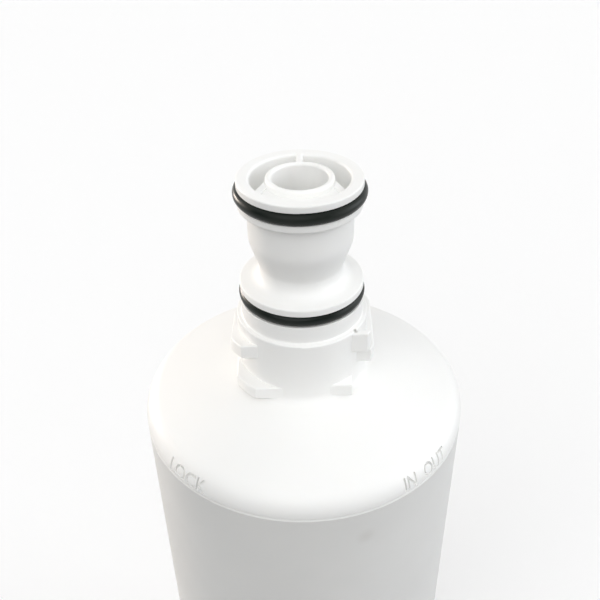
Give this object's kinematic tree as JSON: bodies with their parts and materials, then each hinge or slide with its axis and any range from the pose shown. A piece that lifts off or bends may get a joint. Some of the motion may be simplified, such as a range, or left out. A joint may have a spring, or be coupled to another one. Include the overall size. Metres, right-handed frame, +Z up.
{
  "type": "water filter cartridge",
  "caption": "White round twist-lock water filter cartridge with a domed shoulder, a lugged neck and a spool nozzle with black seal rings, holding a carbon block in end caps.",
  "frame": {"origin": "middle of the base, on the plane of the foot ring", "axes": "+Z up the cartridge's axis towards the nozzle, -Y the front, where the neck's ramps and catches show"},
  "size_m": [0.073, 0.073, 0.2383],
  "materials": {
    "white_plastic": "satin moulded white polypropylene",
    "black_rubber": "smooth black rubber, lightly greased",
    "carbon": "pressed activated carbon, matt and porous",
    "nonwoven": "white spun polypropylene fleece",
    "end_cap_plastic": "natural moulded polypropylene",
    "hot_melt": "cream hot-melt glue"
  },
  "bodies": {
    "root": {"housing_can": "white_plastic", "head_cap": "white_plastic", "upper_o_ring": "black_rubber", "lower_o_ring": "black_rubber", "spigot_o_ring": "black_rubber", "carbon_block": "carbon", "prefilter_wrap": "nonwoven", "top_end_cap": "end_cap_plastic", "bottom_end_cap": "end_cap_plastic", "top_glue_seal": "hot_melt", "bottom_glue_seal": "hot_melt"}
  },
  "joints": []
}
